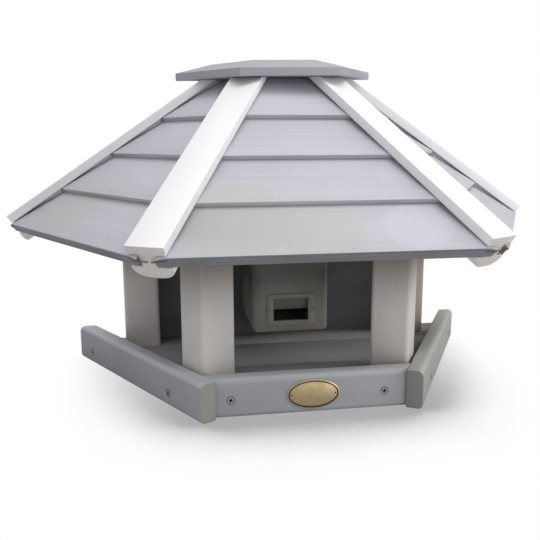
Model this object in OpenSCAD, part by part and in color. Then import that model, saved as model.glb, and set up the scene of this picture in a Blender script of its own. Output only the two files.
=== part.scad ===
// Flat-backed wooden bird feeder, half of a hexagon in plan: a low railed floor, four posts,
// a back wall, a hipped roof of lapped boards held in grooved hip rafters, and a plastic seed silo
// on the back wall, filled from above when the loose roof cap is lifted off.
// Millimetres. +Z is up and the front looks along -Y. The origin is on the ground, midway between
// the left and right posts, where the hexagon would have its middle.

/* [Base rails] */
// Distance from the origin to the outer face of every rail
rail_apothem = 214; // [200:1:220]
// Thickness of a rail
rail_t = 18; // [16:0.5:20]
// Height of a rail
rail_h = 42; // [38:1:45]
// How far a side rail runs past its outer corner with the front rail
rail_overrun = 14.5; // [8:0.5:20]
// How far behind the origin the side rails are cut off, level with the wall behind
rail_end_y = 18; // [10:0.5:21]
// Radius of the rounded outer top edge of a rail
rail_top_r = 7; // [4:0.5:9]
// Radius of the rounded outer bottom edge of a rail
rail_bottom_r = 5; // [3:0.5:6]
// Radius of the eased edges on the inner side of a rail
rail_inner_r = 1.5; // [1:0.5:2]

/* [Floor] */
// Thickness of the floor boards
floor_t = 22; // [19:1:24]
// Width of the middle floor board
floor_board_w = 84; // [80:1:88]
// How far in front of the origin the joint between the last two floor boards lies
floor_joint = 34; // [28:1:40]
// Chamfer that makes the groove between two floor boards
floor_chamfer = 1; // [0.5:0.1:1.5]

/* [Posts and back wall] */
// Side of a square post
post_w = 43; // [38:1:44]
// Radius of a post's long edges
post_r = 5; // [3:0.5:7]
// Distance from the origin to the centre of the left and right posts
side_post_x = 176; // [172:1:180]
// Gap between a corner post and the two rails beside it
post_gap = 3; // [2:0.5:6]
// Thickness of the back wall
wall_t = 12; // [10:1:16]
// Clearance between the back wall and the inner ends of the left and right hips
wall_gap = 1; // [0.5:0.5:2]

/* [Roof] */
// Distance from the origin to the lower end of a hip's top face
hip_r = 330.5; // [325:0.5:335]
// Height of the lower end of a hip's top face
hip_end_z = 191; // [187:1:195]
// Height at which the hips' top faces would meet
peak_z = 416; // [410:1:420]
// Width of a hip's flat top
hip_top_w = 39; // [37:0.5:41]
// Height of a hip's upper flange at its sides
hip_flange_h = 10; // [9:0.25:10.5]
// How far each side of the flange leans in
hip_lean = 1; // [0:0.25:2]
// Thickness of a hip's web between the two grooves
hip_web_t = 18; // [16:0.5:20]
// Width of the round part under a hip
hip_lobe_w = 42; // [40:0.5:43]
// Fullness of the round part: 1 is a half ellipse, and less is boxier
hip_lobe_power = 0.77; // [0.7:0.01:1]
// Whole depth of a hip
hip_depth = 37.5; // [36:0.5:40]
// Distance from the origin to the inner ends of the hips
hip_inner_r = 68; // [66:1:72]

/* [Roof boards] */
// Number of lapped courses on each side
courses = 4; // [4:1:4]
// Part of a course that shows, measured down the slope
exposure = 67.2; // [64:0.1:68]
// Distance down the slope from the peak to the eave
eave_s = 373.8; // [368:0.1:375]
// Distance down the slope from the peak to the top edge of the highest course
top_s = 94; // [93.5:0.5:100]
// Thickness of a board
board_t = 12; // [11:0.25:13]
// Height of the step from one course down to the next
board_step = 5.6; // [5:0.1:6.2]
// Depth of a board's top face below the hips' tops, square to the slope
board_drop = 4.5; // [4:0.25:5]
// Length of the tongue that runs up under the course above
board_lap = 14; // [10:1:18]
// Clearance between the planed end of a board and the hip's flange above it
groove_gap = 0.5; // [0.3:0.1:1]

/* [Roof cap] */
// Length of the cap's back edge
cap_back_w = 250; // [240:1:254]
// Distance from the origin back to the cap's back edge
cap_back_y = 19.3; // [17:0.1:19.5]
// Length of the cap's front edge
cap_front_w = 114; // [108:1:122]
// Distance from the origin forward to the cap's front edge
cap_front_y = 104.3; // [100:0.1:108]
// Height of the cap's upright edge
cap_edge = 9.2; // [7:0.1:11]
// Whole height of the cap
cap_h = 19.9; // [17:0.1:22]
// Size of the cap's flat top as a share of the whole outline
cap_flat = 0.63; // [0.5:0.01:0.7]
// How far the loose cap tips towards the front, in degrees
cap_tip = 2.25; // [0:0.25:3]
// How far the loose cap leans towards the left, in degrees
cap_lean = 0.9; // [0:0.1:1.5]
// How far the loose cap is turned, with its left corner to the back, in degrees
cap_turn = 0.9; // [0:0.1:1]
// Height of the cap's underside over the origin
cap_z = 353.4; // [353:0.1:356]
// Clearance between the cap and the hips and back wall, which are cut to carry it
cap_gap = 0.3; // [0.2:0.1:0.5]
// Thickness of the locating block under the cap
cap_block_h = 16; // [12:1:20]
// Clearance between the locating block and the hips' ends and the back wall
cap_block_gap = 5; // [5:0.5:7]

/* [Seed silo] */
// Width of the silo
silo_w = 91; // [86:1:94]
// Depth of the silo from the back wall to its front
silo_d = 106.5; // [100:0.5:110]
// Height of the silo's underside above the ground
silo_z = 55.5; // [50:0.5:62]
// Height of the silo
silo_h = 226; // [200:1:230]
// Wall of the silo
silo_wall = 2.5; // [2:0.25:3]
// Radius of the silo's upright and lower edges
silo_r = 6; // [4:0.5:8]
// Width of the window frame
frame_w = 58; // [54:1:62]
// Height of the window frame
frame_h = 38; // [34:1:42]
// Thickness of the window frame
frame_t = 2; // [1.5:0.25:3]
// Radius of the window frame's corners
frame_r = 3; // [1:0.5:5]
// Width of the feed window
window_w = 42; // [38:0.5:46]
// Height of the feed window
window_h = 27; // [24:0.5:30]
// Height of the feed window's centre above the ground
window_z = 82; // [80:0.5:86]
// Thickness of the chute plate behind the window
chute_t = 2; // [1.5:0.25:3]
// Height of the chute's lower edge above the ground
chute_foot_z = 79; // [77:0.5:82]
// How far the chute's lower edge stands back from the silo's front wall
chute_reach = 11; // [8:0.5:14]
// How far the chute's upper edge lies above the window
chute_lap = 2; // [1:0.5:4]

/* [Name plate] */
// Width of the oval plate
plate_w = 56; // [50:1:60]
// Height of the oval plate
plate_h = 32; // [28:0.5:34]
// How far the plate's centre lies to the right of the origin
plate_x = 1; // [-3:0.5:3]
// Height of the plate's centre above the ground
plate_z = 21; // [19:0.5:23]
// Thickness of the oval plate
plate_t = 1.5; // [1:0.25:2]

/* [Hidden] */

// Directions seen from above, counted from +X: the four hips, then the three sides
LEFT = 180;
FRONT_LEFT = -120;
FRONT_RIGHT = -60;
RIGHT = 0;
LEFT_SIDE = -150;
FRONT = -90;
RIGHT_SIDE = -30;
SIDES = [LEFT_SIDE, FRONT, RIGHT_SIDE];

GREY = "#9a9fa5";
INNER_GREY = "#8b8f93";
WHITE = "#efedea";
PLASTIC = "#e9e8e3";
BRASS = "#b3904f";

ARC_STEPS = 8;
EASED_STEPS = 3;
LOBE_STEPS = 28;
PLATE_STEPS = 60;
// Longer than anything in the part, for shapes that are cut back
REACH = 1000;
// How far a cutting shape runs past the wall it opens
OVERCUT = 1;
// How far the shoulders beside a saddle lie below the edges of the half-round
SADDLE_MARGIN = 6;

rail_inner = rail_apothem - rail_t;
// Distance from a side rail's middle line to its front end
rail_front_half = rail_apothem * tan(30) + rail_overrun;
// The posts' back faces, the back wall and the floor end in one upright plane
back_y = post_w / 2;
wall_face_y = back_y - wall_t;

// Corner posts stand square to the left or right side rail, post_gap clear of both rails
post_corner = post_w / 2 * (cos(30) + sin(30));
corner_post_y = rail_inner - post_gap - post_corner;
corner_post_x = (rail_inner - post_gap - post_w / 2 - corner_post_y * sin(30)) / cos(30);

hip_rise = peak_z - hip_end_z;
hip_slope = atan(hip_rise / hip_r);
face_slope = atan(hip_rise / (hip_r * cos(30)));
hip_len = hip_r / cos(hip_slope);
// Tilt of a roof side against the hip beside it
side_tilt = acos(sin(hip_slope) * cos(30) * sin(face_slope) + cos(hip_slope) * cos(face_slope));

board_back = -board_drop - board_t;
// The boards lie on the outer edges of the half-rounds
lobe_edge_depth = -board_back / cos(side_tilt) + hip_lobe_w / 2 * tan(side_tilt);
lobe_h = hip_depth - lobe_edge_depth;
// Depth below a hip's top of the shoulders beside the saddle in a post
saddle_depth = lobe_edge_depth + SADDLE_MARGIN;

silo_front_y = silo_d - wall_face_y;

function arc(cx, cy, rx, ry, from, to, steps) =
    [for (i = [0 : steps]) let (a = from + (to - from) * i / steps) [cx + rx * cos(a), cy + ry * sin(a)]];

// ---- Placing helpers -------------------------------------------------------------------------

// Children are drawn with +X running down a hip and +Z square to its top face
module along_hip(direction) {
    translate([0, 0, peak_z]) rotate([0, 0, direction]) rotate([0, hip_slope, 0]) children();
}

// Children are drawn with +X running down a roof side and +Z square to it
module on_side(direction) {
    translate([0, 0, peak_z]) rotate([0, 0, direction]) rotate([0, face_slope, 0]) children();
}

// A flat outline in Y and Z, pulled out along +X
module pull_along_x(length) {
    rotate([90, 0, 90]) linear_extrude(length) children();
}

// A flat outline in X and Z, pulled out to both sides along Y
module pull_across_y(width) {
    rotate([90, 0, 0]) linear_extrude(width, center = true) children();
}

// Children are drawn with the cap's underside at zero and take the place where the cap lies
module as_cap_lies() {
    translate([0, 0, cap_z]) rotate([cap_tip, -cap_lean, -cap_turn]) children();
}

// All that lies below the cap's underside
module below_cap() {
    as_cap_lies() translate([-REACH / 2, -REACH / 2, -REACH - cap_gap]) cube(REACH);
}

module rounded_rectangle(w, h, r) {
    square([w - 2 * r, h], center = true);
    square([w, h - 2 * r], center = true);
    for (x = [-1, 1])
        for (y = [-1, 1])
            translate([x * (w / 2 - r), y * (h / 2 - r)]) circle(r, $fn = 48);
}

// ---- Floor and rails -------------------------------------------------------------------------

module floor_outline() {
    front = rail_inner * tan(30);
    back = (rail_inner + back_y * sin(30)) / cos(30);
    polygon([[-front, -rail_inner], [front, -rail_inner], [back, back_y], [-back, back_y]]);
}

// Counted from the front. The first and the last board are cut to the floor's outline.
module floor_board(number) {
    joint = -floor_joint + (number - 2) * floor_board_w;
    front = number == 1 ? -REACH / 2 : joint - floor_board_w;
    back = number == 3 ? REACH / 2 : joint;
    color(INNER_GREY)
        intersection() {
            translate([-REACH / 2, 0, 0])
                pull_along_x(REACH)
                    polygon([
                        [front, 0], [back, 0],
                        [back, floor_t - floor_chamfer], [back - floor_chamfer, floor_t],
                        [front + floor_chamfer, floor_t], [front, floor_t - floor_chamfer]
                    ]);
            linear_extrude(floor_t + OVERCUT) floor_outline();
        }
}

// Section of a rail: X is the distance from the middle, Y the height
module rail_outline() {
    polygon(concat(
        arc(rail_apothem - rail_bottom_r, rail_bottom_r, rail_bottom_r, rail_bottom_r, -90, 0, ARC_STEPS),
        arc(rail_apothem - rail_top_r, rail_h - rail_top_r, rail_top_r, rail_top_r, 0, 90, ARC_STEPS),
        arc(rail_inner + rail_inner_r, rail_h - rail_inner_r, rail_inner_r, rail_inner_r, 90, 180, EASED_STEPS),
        arc(rail_inner + rail_inner_r, rail_inner_r, rail_inner_r, rail_inner_r, 180, 270, EASED_STEPS)
    ));
}

// Cut square at the front end and along the wall at the back one. front_end says to which side
// of the rail's middle line its front end lies, seen along the direction.
module side_rail(direction, front_end) {
    color(GREY)
        intersection() {
            rotate([0, 0, direction])
                translate([0, front_end * (rail_front_half - REACH / 4), 0])
                    pull_across_y(REACH / 2) rail_outline();
            translate([-REACH / 2, rail_end_y - REACH / 2, 0]) cube([REACH, REACH / 2, rail_h + OVERCUT]);
        }
}

// The front rail ends against the inner faces of the two side rails
module front_rail() {
    color(GREY)
        intersection() {
            rotate([0, 0, FRONT]) pull_across_y(2 * rail_front_half) rail_outline();
            rotate([0, 0, FRONT]) linear_extrude(rail_h + OVERCUT) circle(2 * rail_inner, $fn = 3);
        }
}

module name_plate() {
    color(BRASS)
        translate([plate_x, -rail_apothem, plate_z])
            rotate([90, 0, 0])
                linear_extrude(plate_t)
                    polygon(arc(0, 0, plate_w / 2, plate_h / 2, 0, 360 * (1 - 1 / PLATE_STEPS), PLATE_STEPS - 1));
}

// ---- Hips ------------------------------------------------------------------------------------

function fuller(value) = sign(value) * pow(abs(value), hip_lobe_power);

// Curve of the round part under a hip, from its right edge to its left one
lobe_curve = [
    for (i = [0 : LOBE_STEPS])
        let (a = 180 * i / LOBE_STEPS)
            [hip_lobe_w / 2 * fuller(cos(a)), -lobe_edge_depth - lobe_h * fuller(sin(a))]
];

// Flange, web and round part, with a square groove for the boards on each side of the web
module hip_outline() {
    top = hip_top_w / 2;
    low = top - hip_lean;
    web = hip_web_t / 2;
    polygon(concat(
        [[-top, 0], [-low, -hip_flange_h], [-web, -hip_flange_h], [-web, -lobe_edge_depth]],
        [for (i = [len(lobe_curve) - 1 : -1 : 0]) lobe_curve[i]],
        [[web, -lobe_edge_depth], [web, -hip_flange_h], [low, -hip_flange_h], [top, 0]]
    ));
}

// A hip is cut square at its lower end, along the cap's underside and plumb at its inner end
module hip(direction) {
    color(WHITE)
        intersection() {
            along_hip(direction) pull_along_x(hip_len) hip_outline();
            rotate([0, 0, direction]) translate([hip_inner_r, -hip_lobe_w, 0]) cube([REACH, 2 * hip_lobe_w, peak_z]);
            below_cap();
        }
}

// All that lies above the saddle which a post or the back wall has for its hip
module above_saddle(direction) {
    along_hip(direction)
        pull_along_x(REACH / 2) {
            translate([-REACH / 4, -saddle_depth]) square([REACH / 2, REACH / 2]);
            polygon(concat(lobe_curve, [[0, 0]]));
        }
}

// ---- Posts and back wall ---------------------------------------------------------------------

module post(x, y, turn, hip_direction) {
    color(WHITE)
        difference() {
            translate([x, y, floor_t])
                rotate([0, 0, turn])
                    linear_extrude(peak_z - floor_t) rounded_rectangle(post_w, post_w, post_r);
            above_saddle(hip_direction);
        }
}

// Reaches from post to post, up under the hips and between their inner ends up to the cap
module back_wall() {
    half = side_post_x - post_w / 2;
    color(INNER_GREY)
        difference() {
            intersection() {
                translate([-half, wall_face_y, floor_t]) cube([2 * half, wall_t, peak_z - floor_t]);
                below_cap();
            }
            for (direction = [LEFT, RIGHT])
                intersection() {
                    above_saddle(direction);
                    rotate([0, 0, direction])
                        translate([hip_inner_r - wall_gap, -REACH / 4, 0])
                            cube([REACH / 2, REACH / 2, REACH]);
                }
        }
}

// ---- Roof boards -----------------------------------------------------------------------------

function butt_s(course) = eave_s - (courses - course) * exposure;

// Section of one board: X is the distance down the slope, Y the height square to it. The top
// slopes from its seat under the course above up to the butt, which stands out as the step.
module board_outline(course) {
    butt = butt_s(course);
    seat = -board_drop - board_step;
    upper = course == 1 ? top_s : butt_s(course - 1);
    tip = course == 1 ? top_s : upper - board_lap;
    rebate = course == courses
        ? [[butt, board_back]]
        : [[butt - board_lap, board_back], [butt - board_lap, seat], [butt, seat]];
    shoulder = course == 1 ? [] : [[upper, seat]];
    polygon(concat([[tip, board_back]], rebate, [[butt, -board_drop]], shoulder, [[tip, seat]]));
}

// Everything on one side that lies further than clearance from the middle planes of its two hips
module between_hips(side, clearance) {
    rotate([0, 0, side])
        translate([clearance / sin(30), 0, 0])
            linear_extrude(peak_z)
                polygon([[0, 0], [REACH / 2, -REACH / 2 * tan(30)], [REACH / 2, REACH / 2 * tan(30)]]);
}

// The room that a hip's flange takes above the boards' ends
module flange_room(direction) {
    along_hip(direction)
        pull_along_x(REACH)
            translate([-hip_top_w / 2, -hip_flange_h - groove_gap])
                square([hip_top_w, hip_flange_h + groove_gap + OVERCUT]);
}

// One board on each of the three sides, its ends against the webs and planed to pass under the flanges
module roof_course(course) {
    color(GREY)
        for (side = SIDES)
            difference() {
                intersection() {
                    on_side(side) pull_across_y(REACH) board_outline(course);
                    between_hips(side, hip_web_t / 2);
                }
                flange_room(side - 30);
                flange_room(side + 30);
            }
}

// ---- Roof cap --------------------------------------------------------------------------------

module cap_outline() {
    front = cap_front_w / 2;
    back = cap_back_w / 2;
    polygon([[-front, -cap_front_y], [front, -cap_front_y], [back, cap_back_y], [-back, cap_back_y]]);
}

// An upright edge below and three bevels that rise to a flat top, with a plumb back
module roof_cap() {
    color(GREY)
        as_cap_lies() {
            linear_extrude(cap_edge) cap_outline();
            translate([0, cap_back_y, cap_edge])
                linear_extrude(cap_h - cap_edge, scale = cap_flat)
                    translate([0, -cap_back_y]) cap_outline();
        }
}

// Fits between the inner ends of the hips and in front of the back wall
module cap_block() {
    back = wall_face_y - cap_block_gap;
    color(INNER_GREY)
        as_cap_lies()
            translate([0, 0, -cap_block_h])
                linear_extrude(cap_block_h)
                    intersection() {
                        circle(hip_inner_r - cap_block_gap, $fn = 6);
                        translate([-REACH / 2, back - REACH / 2]) square([REACH, REACH / 2]);
                    }
}

// ---- Seed silo -------------------------------------------------------------------------------

// Outside of the silo, or its inside when inset is the wall's thickness
module silo_block(inset) {
    width = silo_w - 2 * inset;
    r = silo_r - inset;
    translate([0, wall_face_y - silo_d / 2, 0])
        intersection() {
            linear_extrude(silo_z + silo_h) rounded_rectangle(width, silo_d - 2 * inset, r);
            translate([0, 0, silo_z + inset + silo_h])
                pull_across_y(silo_d) rounded_rectangle(width, 2 * silo_h, r);
        }
}

module silo() {
    color(PLASTIC)
        difference() {
            silo_block(0);
            silo_block(silo_wall);
            translate([-window_w / 2, -silo_front_y - OVERCUT, window_z - window_h / 2])
                cube([window_w, silo_wall + 2 * OVERCUT, window_h]);
        }
}

module silo_frame() {
    color(PLASTIC)
        translate([0, -silo_front_y, window_z])
            rotate([90, 0, 0])
                linear_extrude(frame_t)
                    difference() {
                        rounded_rectangle(frame_w, frame_h, frame_r);
                        square([window_w, window_h], center = true);
                    }
}

// Plate that slopes back behind the window and leaves the seed a slot below it
module silo_chute() {
    wall_y = -silo_front_y + silo_wall;
    chute_top = window_z + window_h / 2 + chute_lap;
    width = silo_w - 2 * silo_wall - 2 * silo_r;
    color(PLASTIC)
        rotate([0, 0, 90])
            pull_across_y(width)
                polygon([
                    [wall_y, chute_top], [wall_y + chute_reach, chute_foot_z],
                    [wall_y + chute_reach + chute_t, chute_foot_z], [wall_y, chute_top + 2 * chute_t]
                ]);
}

// ---- The assembly ----------------------------------------------------------------------------

floor_board(1);  // floor_board_1
floor_board(2);  // floor_board_2
floor_board(3);  // floor_board_3
front_rail();  // rail_front
side_rail(LEFT_SIDE, 1);  // rail_front_left
side_rail(RIGHT_SIDE, -1);  // rail_front_right
post(-side_post_x, 0, 0, LEFT);  // post_left
post(side_post_x, 0, 0, RIGHT);  // post_right
post(-corner_post_x, -corner_post_y, 30, FRONT_LEFT);  // post_front_left
post(corner_post_x, -corner_post_y, -30, FRONT_RIGHT);  // post_front_right
back_wall();
hip(LEFT);  // hip_left
hip(RIGHT);  // hip_right
hip(FRONT_LEFT);  // hip_front_left
hip(FRONT_RIGHT);  // hip_front_right
roof_course(1);  // roof_course_1
roof_course(2);  // roof_course_2
roof_course(3);  // roof_course_3
roof_course(4);  // roof_course_4
roof_cap();
cap_block();
silo();
silo_frame();
silo_chute();
name_plate();
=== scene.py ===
# %% [markdown]
# # A half-hexagonal bird feeder in softwood
# The feeder is a garden piece of planed softwood: stained roof boards let into white moulded hips, white
# posts, grey rails and a floor, and a plastic seed silo on a flat back wall. Its solids are made elsewhere
# and arrive here as a fixed frame. This lesson dresses them: edges are eased, every board gets its own
# grain, and screws, staples and the plate's trim are added.

# %% Load the frame
import math
import random

import bmesh
import bpy
from mathutils import Matrix, Vector


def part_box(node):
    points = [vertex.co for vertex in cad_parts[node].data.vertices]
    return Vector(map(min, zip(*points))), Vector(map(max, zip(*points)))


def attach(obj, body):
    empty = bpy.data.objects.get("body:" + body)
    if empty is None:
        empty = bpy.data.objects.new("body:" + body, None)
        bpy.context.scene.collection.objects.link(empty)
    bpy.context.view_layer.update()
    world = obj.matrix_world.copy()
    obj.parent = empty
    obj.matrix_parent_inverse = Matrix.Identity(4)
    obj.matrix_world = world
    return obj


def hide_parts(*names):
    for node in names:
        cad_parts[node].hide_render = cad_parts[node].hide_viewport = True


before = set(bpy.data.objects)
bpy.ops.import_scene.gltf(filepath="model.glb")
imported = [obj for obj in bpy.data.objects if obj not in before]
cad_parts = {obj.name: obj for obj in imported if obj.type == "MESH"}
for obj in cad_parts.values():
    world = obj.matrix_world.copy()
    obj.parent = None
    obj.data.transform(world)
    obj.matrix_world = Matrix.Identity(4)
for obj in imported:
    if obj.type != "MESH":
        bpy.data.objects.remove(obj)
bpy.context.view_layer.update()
scene = bpy.context.scene

# %% [markdown]
# ## The camera
# A still-life view of a table-top object is taken from a metre or so away with a slightly long lens. A
# camera could be aimed with a Track To constraint, but its three angles are wanted exactly, so its axes
# are built by hand: turn about the upright, then tip down, then a trace of roll.

# %% Camera
EYE = Vector((-0.1510, -0.8599, 0.2805))
LENS_MM = 44.87
TURN, TIP, ROLL = math.radians(-9.387), 0.192, -0.003  # in radians


def look(eye, turn, tip, roll):
    ahead = Matrix.Rotation(turn, 3, "Z") @ Vector((0, 1, 0))
    side = ahead.cross(Vector((0, 0, 1)))
    forward = ahead * math.cos(tip) - Vector((0, 0, math.sin(tip)))
    up = side.cross(forward)
    right = side * math.cos(roll) + up * math.sin(roll)
    up = up * math.cos(roll) - side * math.sin(roll)
    pose = Matrix((right, up, -forward)).transposed().to_4x4()
    pose.translation = eye
    return pose


lens = bpy.data.cameras.new("camera")
lens.lens = LENS_MM
camera = bpy.data.objects.new("camera", lens)
camera.matrix_world = look(EYE, TURN, TIP, ROLL)
scene.collection.objects.link(camera)
scene.camera = camera
print("camera looks along", [round(v, 3) for v in -camera.matrix_world.col[2].xyz])

# %% [markdown]
# ## Small helpers for shader trees
# Materials and groups are the same kind of node tree. One helper adds a node, sets its options and fills
# each input with either a value or another node's output. The others are short names for the nodes that
# come back most: maths, a soft ramp, a mix of two colours, and noise that stays put on the object. `srgb`
# turns a colour as a paint card gives it into the linear one that a shader wants.

# %% Shader helpers
def srgb(red, green, blue):
    def linear(value):
        value /= 255
        return value / 12.92 if value <= 0.04045 else ((value + 0.055) / 1.055) ** 2.4
    return (linear(red), linear(green), linear(blue), 1)


def add(tree, kind, inputs=None, **options):
    node = tree.nodes.new("ShaderNode" + kind)
    for option, value in options.items():
        setattr(node, option, value)
    for socket, value in (inputs or {}).items():
        if isinstance(value, bpy.types.NodeSocket):
            tree.links.new(value, node.inputs[socket])
        else:
            node.inputs[socket].default_value = value
    return node


def math_node(tree, operation, first, second=0.0, third=0.0):
    return add(tree, "Math", {0: first, 1: second, 2: third}, operation=operation).outputs[0]


def times(tree, first, second):
    return math_node(tree, "MULTIPLY", first, second)


def ramp(tree, value, low, high, out_low=0.0, out_high=1.0):
    inputs = {"Value": value, "From Min": low, "From Max": high, "To Min": out_low, "To Max": out_high}
    return add(tree, "MapRange", inputs, interpolation_type="SMOOTHSTEP").outputs["Result"]


def mix(tree, factor, first, second, blend="MIX"):
    colours = {0: factor, 6: first, 7: second}
    return add(tree, "Mix", colours, data_type="RGBA", blend_type=blend).outputs[2]


def on_object(tree):
    return add(tree, "TexCoord").outputs["Object"]


def split(tree, vector):
    return add(tree, "SeparateXYZ", {0: vector}).outputs


def noise(tree, scale, detail=2.0):
    inputs = {"Vector": on_object(tree), "Scale": scale, "Detail": detail}
    return add(tree, "TexNoise", inputs).outputs["Fac"]


def group(name, inputs, outputs):
    tree = bpy.data.node_groups.new(name, "ShaderNodeTree")
    for label, kind, value in inputs:
        socket = tree.interface.new_socket(label, in_out="INPUT", socket_type="NodeSocket" + kind)
        socket.default_value = value
    for label in outputs:
        tree.interface.new_socket(label, in_out="OUTPUT", socket_type="NodeSocketFloat")
    return tree, tree.nodes.new("NodeGroupInput").outputs, tree.nodes.new("NodeGroupOutput").inputs


def place(tree, node_group, inputs=None):
    return add(tree, "Group", inputs, node_tree=node_group).outputs


def material(name, **constants):
    """A material with a Principled BSDF; constants are set straight on its sockets."""
    made = bpy.data.materials.new(name)
    made.use_nodes = True
    shader = made.node_tree.nodes["Principled BSDF"]
    for socket, value in constants.items():
        shader.inputs[socket.replace("_", " ")].default_value = value
    return made, made.node_tree, shader


# %% [markdown]
# ## Light and backdrop
# The feeder stands on white paper in a bright room. Most light comes from above, some from a window on
# the right, and a little comes back from a pale wall in front, so there is one broad lamp for each. Lamps
# alone would leave the shaded sides too dark, so a dome that is brighter overhead gives the rest of the
# room. The camera sees the paper glow by itself, except for a soft shadow where the feeder shelters it,
# which an Ambient Occlusion node measures. To the object the paper is a greyer floor that gives less
# light back, so the shelter under the roof stays dim.

# %% World
WHITE = (1, 1, 1, 1)
DOME_TINT = (0.97, 0.98, 1.0, 1)
DOME_LOW, DOME_HIGH = 0.30, 0.85
DOME_BAND = (-0.25, 0.95)  # heights on a unit dome between which it brightens

world = bpy.data.worlds.new("bright room")
scene.world = world
world.use_nodes = True
sky = world.node_tree
sky.nodes.clear()
upwards = split(sky, add(sky, "TexCoord").outputs["Generated"])["Z"]
dome_strength = ramp(sky, upwards, *DOME_BAND, DOME_LOW, DOME_HIGH)
room = add(sky, "Background", {"Color": DOME_TINT, "Strength": dome_strength})
plain_white = add(sky, "Background", {"Color": WHITE, "Strength": 1.0})
sky_seen = add(sky, "LightPath").outputs["Is Camera Ray"]
dome = add(sky, "MixShader", {0: sky_seen, 1: room.outputs[0], 2: plain_white.outputs[0]})
add(sky, "OutputWorld", {"Surface": dome.outputs[0]})
print("dome strength:", DOME_LOW, "to", DOME_HIGH)

# %% Lamps
def softbox(name, place_at, target, size, watts):
    lamp = bpy.data.lights.new(name, "AREA")
    lamp.shape, lamp.size, lamp.energy = "DISK", size, watts
    holder = bpy.data.objects.new(name, lamp)
    holder.location = place_at
    holder.rotation_euler = (Vector(target) - Vector(place_at)).to_track_quat("-Z", "Y").to_euler()
    scene.collection.objects.link(holder)


softbox("overhead softbox", (0.35, -0.55, 2.3), (0, 0, 0.2), size=1.6, watts=22)
softbox("window on the right", (2.5, -1.0, 0.9), (0, 0, 0.2), size=1.5, watts=18.5)
softbox("pale wall in front", (0.8, -2.9, 0.7), (0, 0, 0.1), size=1.8, watts=8)
scene.view_settings.view_transform = "Standard"
print("lamps:", [lamp.name for lamp in bpy.data.lights])

# %% Paper floor
PAPER_HALF = 6.0
PAPER_GREY = (0.62, 0.62, 0.62, 1)
SHADOW_REACH, SHADOW_SAMPLES = 0.24, 24
SHADOW_DEEP, SHADOW_END = 0.60, 0.82  # how open the paper is where the shadow is deepest, and where it ends
SHADOW_TONE = 0.41  # the paper's glow where the shadow is deepest
SHADOW_FADES = (0.12, 0.29)  # distances to either side between which the shadow dies away

sheet_mesh = bmesh.new()
bmesh.ops.create_grid(sheet_mesh, x_segments=1, y_segments=1, size=PAPER_HALF)
paper_data = bpy.data.meshes.new("paper")
sheet_mesh.to_mesh(paper_data)
sheet_mesh.free()
paper_floor = bpy.data.objects.new("paper", paper_data)
scene.collection.objects.link(paper_floor)

paper_look, paper_tree, paper_shader = material("white paper", Roughness=0.9, Specular_IOR_Level=0.0)
paper_shader.inputs["Base Color"].default_value = PAPER_GREY
shelter = add(paper_tree, "AmbientOcclusion", {"Distance": SHADOW_REACH}, samples=SHADOW_SAMPLES)
glow = add(paper_tree, "MapRange", {
    "Value": shelter.outputs["AO"], "From Min": SHADOW_DEEP, "From Max": SHADOW_END,
    "To Min": SHADOW_TONE, "To Max": 1.0}).outputs["Result"]
beside = math_node(paper_tree, "ABSOLUTE", split(paper_tree, on_object(paper_tree))["X"])
own_light = add(paper_tree, "Emission", {
    "Color": WHITE, "Strength": ramp(paper_tree, beside, *SHADOW_FADES, glow, 1.0)})
paper_seen = add(paper_tree, "LightPath").outputs["Is Camera Ray"]
paper_mix = add(paper_tree, "MixShader", {
    0: paper_seen, 1: paper_shader.outputs[0], 2: own_light.outputs[0]})
paper_tree.links.new(paper_mix.outputs[0], paper_tree.nodes["Material Output"].inputs["Surface"])
paper_data.materials.append(paper_look)
print("paper:", 2 * PAPER_HALF, "m square, its shadow within", SHADOW_REACH, "m of the feeder")

# %% [markdown]
# ## Wood that knows its own grain
# Every board was sawn from a trunk, so its pattern is one and the same field of growth rings cut by its
# faces: lines along the sides, arcs on the ends. Each board carries an attribute called grain: metres
# along, across and through it, shifted so that the trunk's heart lies at zero across and through. The
# rings group turns that into ring lines, fine fibre and broad patches. Its numbers are real sizes, such
# as the spacing of the rings, or how often a pattern comes back in a metre along, across and through.

# %% Growth rings group
WAVES_PER_M, PATCHES_PER_M, FIBRES_ALONG_PER_M = (5, 30, 30), (7, 26, 26), 9.0
RING_LINE = (0.1, 1.0)  # the part of each year's swing that shows as a line
wood_tree, wood_in, wood_out = group("growth rings", [
    ("Ring spacing", "Float", 0.0035), ("Wobble", "Float", 0.004), ("Fibre", "Float", 0.0009)],
    ["Rings", "Fibre", "Patches"])
grain_at = add(wood_tree, "Attribute", attribute_name="grain").outputs["Vector"]


def stretched(tree, vector, scales, **settings):
    scaled = add(tree, "VectorMath", {0: vector, 1: scales}, operation="MULTIPLY").outputs[0]
    return add(tree, "TexNoise", {"Vector": scaled, "Scale": 1.0, **settings}).outputs["Fac"]


waviness = stretched(wood_tree, grain_at, WAVES_PER_M, Detail=2.0)
push = times(wood_tree, math_node(wood_tree, "SUBTRACT", waviness, 0.5), wood_in["Wobble"])
sawn = split(wood_tree, grain_at)
flat = add(wood_tree, "CombineXYZ", {"Y": sawn["Y"], "Z": sawn["Z"]}).outputs[0]
from_heart = add(wood_tree, "VectorMath", {0: flat}, operation="LENGTH").outputs["Value"]
pushed = math_node(wood_tree, "ADD", from_heart, push)
years = math_node(wood_tree, "DIVIDE", pushed, wood_in["Ring spacing"])
swing = math_node(wood_tree, "SINE", times(wood_tree, years, 2 * math.pi))
per_fibre = math_node(wood_tree, "DIVIDE", 1.0, wood_in["Fibre"])
thin = add(wood_tree, "CombineXYZ", {"X": FIBRES_ALONG_PER_M, "Y": per_fibre, "Z": per_fibre}).outputs[0]
fibres = stretched(wood_tree, grain_at, thin, Detail=3.0, Roughness=0.6)
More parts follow.
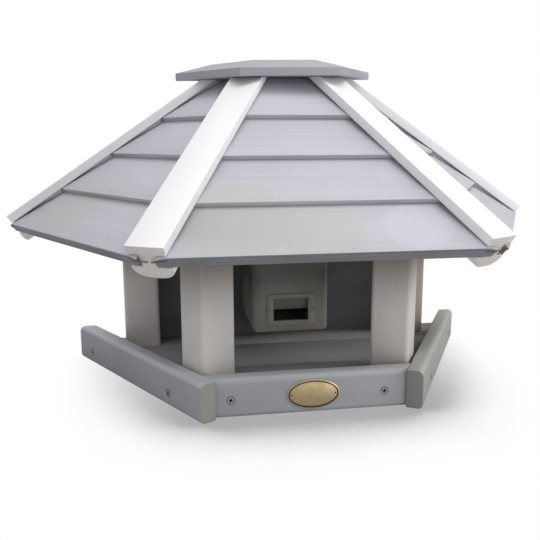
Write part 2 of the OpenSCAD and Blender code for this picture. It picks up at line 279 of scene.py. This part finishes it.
patchiness = stretched(wood_tree, grain_at, PATCHES_PER_M, Detail=4.0, Roughness=0.55)
wood_tree.links.new(ramp(wood_tree, swing, *RING_LINE), wood_out["Rings"])
wood_tree.links.new(fibres, wood_out["Fibre"])
wood_tree.links.new(patchiness, wood_out["Patches"])
print("growth rings:", len(wood_tree.nodes), "nodes")

# %% [markdown]
# ## Specks and stains
# A feeder collects small dark specks, droppings and dull patches. They can be drawn as masks in object
# coordinates, so they cross from one board to the next as real dirt does. The specks are the cells of a
# Voronoi pattern, of which only some are dark. A stain is a ball around a point, frayed by noise.

# %% Specks group
speck_tree, speck_in, speck_out = group("specks", [
    ("Cell size", "Float", 0.03), ("Speck size", "Float", 0.001), ("Share", "Float", 0.35)], ["Mask"])
per_cell = math_node(speck_tree, "DIVIDE", 1.0, speck_in["Cell size"])
cells = add(speck_tree, "TexVoronoi", {"Vector": on_object(speck_tree), "Scale": per_cell})
speck_reach = math_node(speck_tree, "DIVIDE", speck_in["Speck size"], speck_in["Cell size"])
near_speck = math_node(speck_tree, "LESS_THAN", cells.outputs["Distance"], speck_reach)
lot = add(speck_tree, "SeparateColor", {0: cells.outputs["Color"]}).outputs["Red"]
chosen = math_node(speck_tree, "LESS_THAN", lot, speck_in["Share"])
speck_tree.links.new(times(speck_tree, near_speck, chosen), speck_out["Mask"])

# %% Stain group
FRAY_SCALE, FRAY_DETAIL = 140.0, 3.0
STAIN_EDGE = (0.75, 1.05)  # shares of the radius between which a stain ends
stain_tree, stain_in, stain_out = group("stain", [
    ("Centre", "Vector", (0, 0, 0)), ("Radius", "Float", 0.02), ("Fray", "Float", 0.6)], ["Mask"])
from_centre = add(stain_tree, "VectorMath", {0: on_object(stain_tree), 1: stain_in["Centre"]},
                  operation="DISTANCE").outputs["Value"]
share = math_node(stain_tree, "DIVIDE", from_centre, stain_in["Radius"])
uneven = math_node(stain_tree, "SUBTRACT", noise(stain_tree, FRAY_SCALE, FRAY_DETAIL), 0.5)
frayed = math_node(stain_tree, "MULTIPLY_ADD", uneven, stain_in["Fray"], share)
stain_tree.links.new(ramp(stain_tree, frayed, *STAIN_EDGE, 1.0, 0.0), stain_out["Mask"])
print("groups:", [tree.name for tree in bpy.data.node_groups])

# %% [markdown]
# ## Stained and painted wood
# One function makes every wooden finish, because they differ only in their numbers: the stain's colour,
# how much of the rings shows through it, how patchy and how glossy it is. The stain on the boards is
# thin, so rings show as faint lines; the white paint hides them almost completely; the sawn ends have no
# paint and show them best. A finish can also change with height, and here that paints light and shade:
# painted light on the rails' tops and on the top course of boards under the cap, and painted shade on the
# posts under the roof.

# %% Wood finish
PATCH_BAND, FIBRE_BAND, GLOSS_BAND = (0.35, 0.7), (0.45, 0.75), (0.2, 0.8)  # parts of a noise that show
SMOOTHER, ROUGHER = 0.06, 0.08
GRAIN_DEPTH, RING_RELIEF = 0.0006, 0.5
SPECK_DARK = srgb(70, 68, 66)


# Multiplies a tone by a tint from one height upwards; in this script it paints light on some pieces and shade
# on others.
def tint_upwards(tree, tone, low, high, tint):
    height = split(tree, on_object(tree))["Z"]
    return mix(tree, ramp(tree, height, low, high), tone, tint, blend="MULTIPLY")


def wood(name, colour, line_colour, rings, fibre, patches, speck=0.5, roughness=0.62, bump=0.15,
         patch_colour=None, stains=(), upper=None):
    """stains are (centre, radius, colour, strength); upper is (from height, to height, tint above)."""
    made, tree, shader = material(name, Specular_IOR_Level=0.35)
    grain = place(tree, wood_tree)
    patchy = times(tree, ramp(tree, grain["Patches"], *PATCH_BAND), patches)
    tone = mix(tree, patchy, colour, patch_colour or line_colour)
    tone = mix(tree, times(tree, grain["Rings"], rings), tone, line_colour)
    tone = mix(tree, times(tree, ramp(tree, grain["Fibre"], *FIBRE_BAND), fibre), tone, line_colour)
    for centre, radius, stain_colour, strength in stains:
        stained = place(tree, stain_tree, {"Centre": centre, "Radius": radius})["Mask"]
        tone = mix(tree, times(tree, stained, strength), tone, stain_colour)
    if speck:
        tone = mix(tree, times(tree, place(tree, speck_tree)["Mask"], speck), tone, SPECK_DARK)
    if upper:
        tone = tint_upwards(tree, tone, *upper)
    gloss = ramp(tree, grain["Patches"], *GLOSS_BAND, roughness - SMOOTHER, roughness + ROUGHER)
    relief = math_node(tree, "ADD", times(tree, grain["Rings"], RING_RELIEF), grain["Fibre"])
    dented = add(tree, "Bump", {"Strength": bump, "Distance": GRAIN_DEPTH, "Height": relief})
    tree.links.new(tone, shader.inputs["Base Color"])
    tree.links.new(gloss, shader.inputs["Roughness"])
    tree.links.new(dented.outputs[0], shader.inputs["Normal"])
    print("finish:", name, "of", len(tree.nodes), "nodes")
    return made


# %% Roof stains
WARM_GREY, PALE_GREY, DROPPING = srgb(183, 181, 179), srgb(194, 195, 204), srgb(146, 136, 120)
# lightens the top course under the cap, against the cap's shade: painted light
PAINTED_LIGHT_ON_TOP_COURSE = (0.31, 0.335, (1.17, 1.16, 1.17, 1))
BOARD_STAINS = [  # warm patches on the front and left boards, pale ones on the right, and droppings
    ((-0.085, -0.255, 0.205), 0.060, WARM_GREY, 0.75),
    ((-0.005, -0.265, 0.198), 0.050, WARM_GREY, 0.7),
    ((-0.245, -0.085, 0.207), 0.055, WARM_GREY, 0.6),
    ((-0.197, -0.116, 0.228), 0.020, WARM_GREY, 0.6),
    ((0.090, -0.262, 0.201), 0.036, PALE_GREY, 0.6),
    ((0.086, -0.204, 0.248), 0.022, PALE_GREY, 0.45),
    ((0.020, -0.286, 0.183), 0.0022, DROPPING, 0.6),
    ((0.025, -0.286, 0.183), 0.0018, DROPPING, 0.45),
    ((0.0225, -0.2835, 0.185), 0.0014, DROPPING, 0.5),
    ((-0.200, -0.116, 0.226), 0.0035, DROPPING, 0.3)]
board_stain = wood(
    "board_stain", srgb(184, 184, 191), srgb(152, 151, 158), rings=0.10, fibre=0.12, patches=0.3,
    patch_colour=srgb(196, 194, 200), stains=BOARD_STAINS, upper=PAINTED_LIGHT_ON_TOP_COURSE)
cap_stain = wood(
    "cap_stain", srgb(163, 163, 169), srgb(136, 135, 141), rings=0.08, fibre=0.12, patches=0.3,
    patch_colour=srgb(180, 179, 185))
board_edge = wood(
    "board_edge", srgb(188, 188, 193), srgb(146, 145, 147), rings=0.2, fibre=0.25, patches=0.4)
# The eave course's edges: much darker than the stain, partly the edge wood's own tone and partly painted
# shade under the eave.
shaded_eave_edge = wood(
    "shaded_eave_edge", srgb(130, 131, 135), srgb(92, 91, 92), rings=0.25, fibre=0.3, patches=0.4)

# %% Rail, floor and wall stains
RAIL_TOP = (0.036, 0.0415)
# Tints above 1 that lighten the rails' rounded tops: painted light from above, stronger on the left rail.
PAINTED_LIGHT_ON_RAIL_TOP = (*RAIL_TOP, (1.42, 1.40, 1.38, 1))
MORE_PAINTED_LIGHT_ON_RAIL_TOP = (*RAIL_TOP, (1.8, 1.78, 1.76, 1))
RAIL_GRAIN = dict(rings=0.08, fibre=0.1, patches=0.25)
RAIL_END_GRAIN = dict(rings=0.2, fibre=0.25, patches=0.3)
rail_stain = wood(
    "rail_stain", srgb(173, 175, 179), srgb(144, 145, 148), **RAIL_GRAIN, upper=PAINTED_LIGHT_ON_RAIL_TOP)
left_rail_stain = wood(
    "left_rail_stain", srgb(166, 168, 173), srgb(138, 140, 143), **RAIL_GRAIN,
    upper=MORE_PAINTED_LIGHT_ON_RAIL_TOP)
warm_rail_stain = wood(
    "warm_rail_stain", srgb(174, 174, 168), srgb(144, 143, 137), **RAIL_GRAIN, upper=PAINTED_LIGHT_ON_RAIL_TOP)
left_rail_end = wood("left_rail_end", srgb(166, 163, 151), srgb(132, 129, 118), **RAIL_END_GRAIN)
right_rail_end = wood("right_rail_end", srgb(148, 148, 147), srgb(108, 108, 108), **RAIL_END_GRAIN)
floor_stain = wood(
    "floor_stain", srgb(174, 175, 177), srgb(134, 133, 132), rings=0.12, fibre=0.2, patches=0.35)
# The wall's inner face: the rails' grey made much darker, as painted shade of the bay under the roof.
shaded_wall_stain = wood(
    "shaded_wall_stain", srgb(106, 105, 105), srgb(76, 74, 73), rings=0.06, fibre=0.12, patches=0.35)

# %% Paints and bare wood
# Heights between which the posts grow darker towards the top: painted shade under the roof.
POST_SHADE_HEIGHTS = (0.09, 0.178)
POST_PAINT_FILM = dict(rings=0.03, fibre=0.06, patches=0.25, speck=0.2, roughness=0.5, bump=0.05)
white_paint = wood(
    "white_paint", srgb(238, 236, 237), srgb(214, 211, 209), rings=0.04, fibre=0.06, patches=0.15,
    speck=0.15, roughness=0.5, bump=0.08)
post_paint = wood(
    "post_paint", srgb(220, 214, 210), srgb(192, 185, 178), **POST_PAINT_FILM,
    upper=(*POST_SHADE_HEIGHTS, (0.34, 0.30, 0.265, 1)))
# The right post takes a darker, browner copy of the post paint, as painted shade on that post.
warm_post_paint = wood(
    "warm_post_paint", srgb(192, 180, 170), srgb(172, 160, 149), **POST_PAINT_FILM,
    upper=(*POST_SHADE_HEIGHTS, (0.44, 0.40, 0.36, 1)))
raw_end = wood(
    "raw_end", srgb(222, 216, 211), srgb(160, 150, 142), rings=0.3, fibre=0.25, patches=0.25,
    speck=0, roughness=0.8, bump=0.3)

# %% [markdown]
# ## Turning solids into boards
# The frame's meshes are loose triangles with razor edges. A copy of each is merged, its flat triangles
# are dissolved into whole faces, and each separate board in it gets grain coordinates from its own
# longest edge and largest face. The edges are then eased with a Bevel modifier, which also keeps the
# large faces flat in the shading. Modelling the boards again by hand would risk drifting from the solids.

# %% Copies of the solids
MERGE_DISTANCE = 1e-5
FLAT_WITHIN = math.radians(0.5)


def merged_copy(node):
    copy = bmesh.new()
    copy.from_mesh(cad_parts[node].data)
    bmesh.ops.remove_doubles(copy, verts=copy.verts, dist=MERGE_DISTANCE)
    bmesh.ops.dissolve_limit(copy, angle_limit=FLAT_WITHIN, verts=copy.verts, edges=copy.edges)
    bmesh.ops.recalc_face_normals(copy, faces=copy.faces)
    return copy


def separate_boards(copy):
    left, boards = set(copy.verts), []
    while left:
        board, edge_of_search = set(), [left.pop()]
        while edge_of_search:
            vert = edge_of_search.pop()
            board.add(vert)
            near = {edge.other_vert(vert) for edge in vert.link_edges} & left
            left -= near
            edge_of_search.extend(near)
        boards.append(board)
    return sorted(boards, key=lambda board: min(tuple(vert.co) for vert in board))


# %% Pieces from meshes
EASE_SEGMENTS, EASE_SHARPER_THAN = 2, math.radians(35)


def show(name, data, body, looks):
    """Puts a finished mesh in the scene, as a piece that rides on a body."""
    piece = bpy.data.objects.new(name, data)
    scene.collection.objects.link(piece)
    for finish in looks:
        data.materials.append(finish)
    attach(piece, body)
    return piece


def show_copy(name, copy, node, body, looks, ease):
    """Shows a merged copy of a node in the node's stead, its edges eased by a width in metres."""
    data = bpy.data.meshes.new(name)
    copy.to_mesh(data)
    copy.free()
    data.shade_smooth()
    piece = show(name, data, body, looks)
    if ease:
        eased = piece.modifiers.new("eased edges", "BEVEL")
        eased.width, eased.segments, eased.profile = ease, EASE_SEGMENTS, 0.5
        eased.limit_method, eased.angle_limit = "ANGLE", EASE_SHARPER_THAN
        eased.harden_normals = True
    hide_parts(node)
    return piece


def show_mesh(name, mesh, looks, smooth=True):
    """Shows a piece that was modelled here and rides on the feeder."""
    data = bpy.data.meshes.new(name)
    bmesh.ops.recalc_face_normals(mesh, faces=mesh.faces)
    mesh.to_mesh(data)
    mesh.free()
    if smooth:
        data.shade_smooth()
    show(name, data, "feeder", looks)


# %% Grain on a board
HEART_ALONG, HEART_ACROSS, HEART_THROUGH = (-3, 3), (-0.02, 0.02), (0.03, 0.07)  # ranges in metres
STEEP = 0.1  # rise from which a board counts as upright, not level
AREA_DIGITS, LENGTH_DIGITS = 7, 6  # decimals that tell faces and edges of different size apart


def board_axes(board, along=None):
    """Unit vectors along, across and through a board."""
    faces = {face for vert in board for face in vert.link_faces}
    edges = {edge for vert in board for edge in vert.link_edges}
    through = max(faces, key=lambda face: (round(face.calc_area(), AREA_DIGITS), face.normal.z)).normal.copy()
    longest = max(edges, key=lambda edge: round(edge.calc_length(), LENGTH_DIGITS))
    along = Vector(along) if along else longest.verts[1].co - longest.verts[0].co
    along = (along - along.project(through)).normalized()
    if along.z > STEEP or (abs(along.z) <= STEEP and along.x < 0):
        along = -along
    return along, through.cross(along), through


def dress(node, looks, ease, body="feeder", along=None, heart=None, second_look=None):
    """Faces for which second_look(normal, board axes) is true take looks[1]; heart is (across, through)."""
    copy = merged_copy(node)
    layer = copy.verts.layers.float_vector.new("grain")
    for number, board in enumerate(separate_boards(copy)):
        luck = random.Random(f"{node} {number}")
        axes = board_axes(board, along)
        middle = sum((vert.co for vert in board), Vector()) / len(board)
        away = Vector([luck.uniform(*span) for span in (HEART_ALONG, HEART_ACROSS, HEART_THROUGH)])
        if heart:
            away.yz = heart
        for vert in board:
            vert[layer] = Vector([(vert.co - middle).dot(axis) for axis in axes]) + away
        if second_look:
            for face in {face for vert in board for face in vert.link_faces}:
                face.material_index = 1 if second_look(face.normal, axes) else 0
    show_copy(node + "_wood", copy, node, body, looks, ease)


# %% Which faces take the second look
SQUARE_TO_LENGTH, FACING_BACK, FACING_UP, LIKE_TOP = 0.97, 0.9, 0.1, 0.94  # cosines


def is_end(normal, axes):
    return abs(normal.dot(axes[0])) > SQUARE_TO_LENGTH


def is_outer_side(normal, axes):
    return normal.y > FACING_BACK


def is_not_top(normal, axes):
    """The facets that are planed slightly off a board's top still count as its top."""
    return normal.z < FACING_UP or abs(normal.dot(axes[2])) < LIKE_TOP


# %% [markdown]
# ## The wooden pieces
# The roof boards have square edges with a look of their own, much darker along the eave, partly the edge
# wood's own tone and partly painted shade under the eave. The hips and rails were cut to length after
# painting, so their ends show weathered wood. The wall is stained like the rails on its outside; its inner
# face takes a much darker grey, painted shade of the bay under the roof. Each hip's heart is given one by
# one, because its end shows: steep lines on one, nearly level lines on the next.

# %% Roof, hips, posts, rails and floor
BOARD_EASE, RAIL_EASE, HIP_EASE = 0.0006, 0.0008, 0.0005
COURSES, FLOOR_BOARDS = 4, 3
ACROSS_THE_FEEDER = (1, 0, 0)
HIPS = {"left": 180, "front_left": -120, "front_right": -60, "right": 0}  # degrees from +X
HIP_HEARTS = {"left": (0.030, 0.050), "front_left": (0.055, 0.060),
              "front_right": (0.010, 0.080), "right": (-0.040, 0.060)}
POST_PAINTS = {"left": post_paint, "front_left": post_paint,
               "front_right": post_paint, "right": warm_post_paint}
RAIL_LOOKS = {"front": [rail_stain, right_rail_end], "front_left": [left_rail_stain, left_rail_end],
              "front_right": [warm_rail_stain, right_rail_end]}

for course in range(1, COURSES + 1):
    edge_look = shaded_eave_edge if course == COURSES else board_edge
    dress(f"roof_course_{course}", [board_stain, edge_look], BOARD_EASE,
          second_look=is_not_top)
for place_name in HIPS:
    dress(f"hip_{place_name}", [white_paint, raw_end], HIP_EASE,
          heart=HIP_HEARTS[place_name], second_look=is_end)
    dress(f"post_{place_name}", [POST_PAINTS[place_name]], HIP_EASE)
for place_name, rail_looks in RAIL_LOOKS.items():
    dress(f"rail_{place_name}", rail_looks, RAIL_EASE, second_look=is_end)
for number in range(1, FLOOR_BOARDS + 1):
    dress(f"floor_board_{number}", [floor_stain], 0, along=ACROSS_THE_FEEDER)
dress("back_wall", [shaded_wall_stain, rail_stain], RAIL_EASE, along=ACROSS_THE_FEEDER,
      second_look=is_outer_side)
dress("roof_cap", [cap_stain], BOARD_EASE, body="cap", along=ACROSS_THE_FEEDER)
dress("cap_block", [floor_stain], RAIL_EASE, body="cap", along=ACROSS_THE_FEEDER)

# %% [markdown]
# ## The silo
# The seed silo is moulded in milky plastic, scratched by seed and with a little dust. Real plastic of
# this kind lets light in and scatters it, which a small constant subsurface weight gives. Its colour is
# a grey darker than milky plastic, and darker still towards the top: painted shade of the bay under the
# roof. The solids have their corners rounded already, so the copies are only merged and shaded smooth,
# with a slight ease on the sharp rims; the chute stays flat-shaded and uneased.

# %% Silo plastic
SILO_EASES = {"silo": 0.0004, "silo_frame": 0.0006, "silo_chute": 0}
# Heights and tint for a silo darker towards the top: painted shade under the roof.
SHADED_SILO_TOP = (0.075, 0.13, (0.30, 0.28, 0.26, 1))
DUST_SCALE, DUST_DETAIL, DUST_BAND = 22.0, 5.0, (0.4, 0.75)
SCUFF_BAND, SCUFF_GLOSS, SCUFF_DEPTH = (0.3, 0.8), (0.32, 0.6), 0.0004

milky, milky_tree, milky_shader = material(
    "milky_plastic", Subsurface_Weight=0.12, Subsurface_Scale=0.01, Specular_IOR_Level=0.5)
cloudy = noise(milky_tree, DUST_SCALE, DUST_DETAIL)
dust = ramp(milky_tree, cloudy, *DUST_BAND)
# Two greys, both darker than milky plastic as painted shade of the bay, mixed by dust noise.
dust_and_shade = mix(milky_tree, dust, srgb(150, 147, 139), srgb(134, 129, 119))
shaded_top = tint_upwards(milky_tree, dust_and_shade, *SHADED_SILO_TOP)
scuffed = ramp(milky_tree, cloudy, *SCUFF_BAND, *SCUFF_GLOSS)
scuffs = add(milky_tree, "Bump", {"Strength": 0.1, "Distance": SCUFF_DEPTH, "Height": cloudy})
milky_tree.links.new(shaded_top, milky_shader.inputs["Base Color"])
milky_tree.links.new(scuffed, milky_shader.inputs["Roughness"])
milky_tree.links.new(scuffs.outputs[0], milky_shader.inputs["Normal"])
for node, ease in SILO_EASES.items():
    shell = show_copy(node + "_shell", merged_copy(node), node, "feeder", [milky], ease)
    if not ease:
        shell.data.shade_flat()
print("silo pieces:", len(SILO_EASES))

# %% [markdown]
# ## Brass, enamel and steel
# Each of these is a colour that wanders a little towards a duller one, with a gloss that wanders along
# with it, so one function makes them all. The noise has a spot every few millimetres or less, because
# tarnish and pitting are that fine.

# %% Small finishes
MOTTLE_BAND = (0.3, 0.8)


def mottled(name, scale, detail, band, colours, gloss, **constants):
    """A finish between two colours and two roughnesses, mixed by noise within a band."""
    made, tree, shader = material(name, **constants)
    spotty = noise(tree, scale, detail)
    tree.links.new(mix(tree, ramp(tree, spotty, *band), *colours), shader.inputs["Base Color"])
    tree.links.new(ramp(tree, spotty, *MOTTLE_BAND, *gloss), shader.inputs["Roughness"])
    print("finish:", name, "of", len(tree.nodes), "nodes")
    return made


STEEL_PITS = dict(scale=500.0, detail=4.0, band=(0.4, 0.7), gloss=(0.35, 0.65))
brass = mottled(
    "plate_brass_look", 160.0, 5.0, (0.35, 0.75), (srgb(222, 200, 158), srgb(206, 184, 138)),
    gloss=(0.28, 0.5), Metallic=1.0)
enamel = mottled(
    "black_enamel", 400.0, 2.0, (0.6, 0.8), (srgb(20, 19, 18), srgb(48, 42, 34)),
    gloss=(0.3, 0.6), Specular_IOR_Level=0.4)
steel = mottled(
    "zinc_steel", colours=(srgb(178, 178, 181), srgb(150, 148, 146)), **STEEL_PITS, Metallic=0.2)
wire_steel = mottled(
    "wire_steel", colours=(srgb(104, 99, 95), srgb(74, 68, 63)), **STEEL_PITS, Metallic=0.4)

# %% [markdown]
# ## The oval plate
# The plate is pressed brass with a border line filled in black. Its face stays bare. The border is a thin
# ring laid a fifth of a millimetre proud; cutting it in would cost many faces for a line that thin.

# %% Plate
PLATE_EASE = 0.0004
BORDER_INSET, BORDER_W, BORDER_PROUD, BORDER_SEGMENTS = 0.0014, 0.0013, 0.0002, 72


def verts_in(geometry):
    return [item for item in geometry if isinstance(item, bmesh.types.BMVert)]


show_copy("name_plate_brass", merged_copy("name_plate"), "name_plate", "feeder", [brass],
          PLATE_EASE)
plate_low, plate_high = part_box("name_plate")
plate_middle = (plate_low + plate_high) / 2
plate_half_w, plate_half_h = (plate_high.x - plate_low.x) / 2, (plate_high.z - plate_low.z) / 2

border = bmesh.new()
outline = bmesh.ops.create_circle(border, cap_ends=True, segments=BORDER_SEGMENTS, radius=1)["verts"]
bmesh.ops.scale(border, vec=(plate_half_w - BORDER_INSET, plate_half_h - BORDER_INSET, 1), verts=outline)
bmesh.ops.inset_region(border, faces=border.faces[:], thickness=BORDER_W, depth=0, use_boundary=True)
inner_face = max(border.faces, key=lambda face: face.calc_area())
bmesh.ops.delete(border, geom=[inner_face], context="FACES")
raised = bmesh.ops.extrude_face_region(border, geom=border.faces[:])["geom"]
bmesh.ops.translate(border, vec=(0, 0, 2 * BORDER_PROUD), verts=verts_in(raised))
on_plate = Matrix.Translation((plate_middle.x, plate_low.y + BORDER_PROUD, plate_middle.z))
to_front = Matrix.Rotation(math.pi / 2, 4, "X")
bmesh.ops.transform(border, verts=border.verts, matrix=on_plate @ to_front)
show_mesh("plate_border", border, [enamel])
print("plate:", [round(v * 1000, 1) for v in (plate_half_w, plate_half_h)], "mm half sizes")

# %% [markdown]
# ## Screws and pins
# Each rail is held by two countersunk cross-head screws, the silo's frame by two small ones, and the
# plate by a pin at each end. A screw's head is a disc with a cross pressed into it. Its countersink is
# not cut: a dark disc a hair wider than the head lies just below it, painted shade that shows as a dark
# ring around the head, and the cross's pit is painted dark as well. A boolean could cut the cross, but
# bridging a cross outline to the round rim and extruding the cross inwards gives the same shape with few
# faces.

# %% Screw head
SCREW_R, RING_R, SCREW_PROUD, SCREW_SEGMENTS = 0.0038, 0.0045, 0.0003, 24
CROSS_LONG, CROSS_WIDE, CROSS_TAPER, CROSS_DEEP = 0.62, 0.2, 0.6, 0.0012
RING_BELOW_HEAD = 0.8 * SCREW_PROUD
SHADE_SCALE = 700.0

# A dark mottled grey for the ring under each screw head and for its cross's pit: painted shade.
shade, shade_tree, shade_shader = material("countersink_shade", Specular_IOR_Level=0.1, Roughness=0.9)
mottled_shade = mix(shade_tree, noise(shade_tree, SHADE_SCALE), srgb(30, 29, 28), srgb(58, 55, 52))
shade_tree.links.new(mottled_shade, shade_shader.inputs["Base Color"])


def press_cross(head, radius):
    """Bridges a cross outline to a disc's rim and presses it in. Returns the verts of its floor."""
    rim_edges = head.edges[:]
    arm, wide = radius * CROSS_LONG, radius * CROSS_WIDE
    quarter = [Vector((arm, wide, 0)), Vector((wide, wide, 0)), Vector((wide, arm, 0))]
    quarter_turns = [Matrix.Rotation(math.pi / 2 * step, 3, "Z") for step in range(4)]
    cross = [head.verts.new(turned @ corner) for turned in quarter_turns for corner in quarter]
    cross_edges = [head.edges.new((cross[step - 1], cross[step])) for step in range(len(cross))]
    bmesh.ops.bridge_loops(head, edges=rim_edges + cross_edges)
    floor = verts_in(bmesh.ops.extrude_face_region(head, geom=[head.faces.new(cross)])["geom"])
    lid = [face for face in head.faces if all(vert in cross for vert in face.verts)]
    bmesh.ops.delete(head, geom=lid, context="FACES_ONLY")
    bmesh.ops.translate(head, vec=(0, 0, -CROSS_DEEP * radius / SCREW_R), verts=floor)
    bmesh.ops.scale(head, vec=(CROSS_TAPER, CROSS_TAPER, 1), verts=floor)
    return floor


def add_screw(mesh, at, outward, turn, radius=SCREW_R, ring=RING_R):
    head = bmesh.new()
    bmesh.ops.create_circle(head, segments=SCREW_SEGMENTS, radius=radius)
    floor = press_cross(head, radius)
    open_edges = [edge for edge in head.edges if edge.is_boundary]
    skirt = verts_in(bmesh.ops.extrude_edge_only(head, edges=open_edges)["geom"])
    bmesh.ops.translate(head, vec=(0, 0, -2 * SCREW_PROUD), verts=skirt)
    # The cross's pit takes the dark look: painted shade.
    for face in head.faces:
        face.material_index = 1 if any(vert in floor for vert in face.verts) else 0
    # A dark disc a hair wider than the head, just below it: painted shade of the countersink.
    shade_disc = bmesh.ops.create_circle(head, cap_ends=True, segments=SCREW_SEGMENTS, radius=ring)["verts"]
    bmesh.ops.translate(head, vec=(0, 0, -RING_BELOW_HEAD), verts=shade_disc)
    for face in {face for vert in shade_disc for face in vert.link_faces}:
        face.material_index = 1
    facing = Vector(outward).to_track_quat("Z", "Y").to_matrix().to_4x4()
    seated = Matrix.Translation(Vector(at) + SCREW_PROUD * Vector(outward))
    bmesh.ops.transform(head, verts=head.verts, matrix=seated @ facing @ Matrix.Rotation(turn, 4, "Z"))
    part = bpy.data.meshes.new("screw")
    head.to_mesh(part)
    head.free()
    mesh.from_mesh(part)
    bpy.data.meshes.remove(part)


# %% Rail screws
RAIL_FACE = -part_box("rail_front")[0].y
FRONT_SCREW_Z, SIDE_SCREW_Z = 0.019, 0.015
SCREWS = [(-90, (-0.085, 0.078), FRONT_SCREW_Z),  # a rail's direction in degrees, places along it, height
          (-150, (-0.110, 0.075), SIDE_SCREW_Z),
          (-30, (-0.075, 0.110), SIDE_SCREW_Z)]

rail_screws = bmesh.new()
luck = random.Random("screws")
for direction_deg, places, screw_z in SCREWS:
    turned = Matrix.Rotation(math.radians(direction_deg), 3, "Z")
    outward = turned @ Vector((1, 0, 0))
    for along_rail in places:
        at = turned @ Vector((RAIL_FACE, along_rail, screw_z))
        add_screw(rail_screws, at, outward, luck.uniform(0, math.pi))
show_mesh("rail_screws", rail_screws, [steel, shade], smooth=False)
print("rail screws:", sum(len(places) for _, places, _ in SCREWS))

# %% Silo screws and plate pins
SILO_SCREW_R, SILO_RING_R = 0.0019, 0.0027
SILO_SCREW_PLACES = (-0.0272, 0.0255)
PIN_R, PIN_INSET, PIN_SEGMENTS, PIN_RINGS = 0.0011, 0.0045, 12, 6

silo_screws = bmesh.new()
low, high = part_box("silo_frame")
for at_x in SILO_SCREW_PLACES:
    at = (at_x, low.y, (low.z + high.z) / 2)
    add_screw(silo_screws, at, (0, -1, 0), luck.uniform(0, math.pi), SILO_SCREW_R, SILO_RING_R)
show_mesh("silo_screws", silo_screws, [steel, shade], smooth=False)

plate_pins = bmesh.new()
for side in (-1, 1):
    pin = bmesh.ops.create_uvsphere(plate_pins, u_segments=PIN_SEGMENTS, v_segments=PIN_RINGS, radius=PIN_R)
    pin_x = plate_middle.x + side * (plate_half_w - PIN_INSET)
    bmesh.ops.translate(plate_pins, vec=(pin_x, plate_low.y, plate_middle.z), verts=pin["verts"])
show_mesh("plate_pins", plate_pins, [wire_steel])
print("silo screws:", len(SILO_SCREW_PLACES), "and 2 plate pins")

# %% [markdown]
# ## Wire staples
# At the eave the boards are held in the hips' grooves by wire staples, one across each groove, driven
# half into the hip's end and half into the board's lower edge. A bent wire is a section swept along a few
# points, which a poly curve with a bevel depth does at once. Its points are given on the hip: how far
# across it from its middle line, and how deep below its top.

# %% Hip and side directions
PEAK = Vector((0, 0, 0.416))  # where the hips' tops would meet above the cap
HIP_END = Vector((0.3305, 0, 0.191))  # the top of the right hip's end
EAVE = 0.3738  # from the peak down the middle of a side
SIDE_TO_HIP = 30  # degrees from a side's middle to its hips
hip_slope = math.atan2(PEAK.z - HIP_END.z, HIP_END.x)
side_slope = math.atan2(PEAK.z - HIP_END.z, HIP_END.x * math.cos(math.radians(SIDE_TO_HIP)))
hip_length = HIP_END.x / math.cos(hip_slope)


def sloped_axes(direction_deg, slope):
    """Unit vectors down a slope, level across it, and up out of it."""
    turned = Matrix.Rotation(math.radians(direction_deg), 3, "Z") @ Matrix.Rotation(slope, 3, "Y")
    return turned.col[0], turned.col[1], turned.col[2]


def hip_point(hip, across, depth, side=None):
    """A point below a hip's top: on its end face, or where the boards of a side end at the eave."""
    along_axis, across_axis, up_axis = sloped_axes(HIPS[hip], hip_slope)
    distance = hip_length
    if side is not None:
        down_axis = sloped_axes(side, side_slope)[0]
        distance = EAVE - across * across_axis.dot(down_axis) + depth * up_axis.dot(down_axis)
        distance /= along_axis.dot(down_axis)
    return PEAK + distance * along_axis + across * across_axis - depth * up_axis


print("slopes:", [round(math.degrees(slope), 1) for slope in (hip_slope, side_slope)], "degrees")

# %% Staples at the eave
WIRE_R, LEG = 0.0006, 0.004
HALF_SUNK = 0.5 * WIRE_R
ON_HIP, AT_GROOVE, ON_BOARD = (0.002, 0.0178), (0.0095, 0.0125), (0.0185, 0.0142)  # across, depth

wire_curve = bpy.data.curves.new("eave_staples", "CURVE")
wire_curve.dimensions, wire_curve.bevel_depth = "3D", WIRE_R
wire_curve.bevel_resolution, wire_curve.use_fill_caps = 1, True
for hip, hip_direction in HIPS.items():
    into_hip = -sloped_axes(hip_direction, hip_slope)[0]
    for sign in (-1, 1):
        side = hip_direction + SIDE_TO_HIP * sign
        into_board = -sloped_axes(side, side_slope)[0]
        start = hip_point(hip, sign * ON_HIP[0], ON_HIP[1])
        bend = hip_point(hip, sign * AT_GROOVE[0], AT_GROOVE[1], side) - HALF_SUNK * into_board
        end = hip_point(hip, sign * ON_BOARD[0], ON_BOARD[1], side) - HALF_SUNK * into_board
        path = [start + LEG * into_hip, start - HALF_SUNK * into_hip, bend, end, end + LEG * into_board]
        spline = wire_curve.splines.new("POLY")
        spline.points.add(len(path) - 1)
        for point, at in zip(spline.points, path):
            point.co = (*at, 1)

bent = bpy.data.objects.new("eave_staples", wire_curve)
scene.collection.objects.link(bent)
evaluated = bent.evaluated_get(bpy.context.evaluated_depsgraph_get())
wire_data = bpy.data.meshes.new_from_object(evaluated)
bpy.data.objects.remove(bent)
wire_data.name = "eave_staples"
wire_data.shade_smooth()
wire_data.materials.clear()
show("eave_staples", wire_data, "feeder", [wire_steel])
print("eave staples:", len(wire_curve.splines))
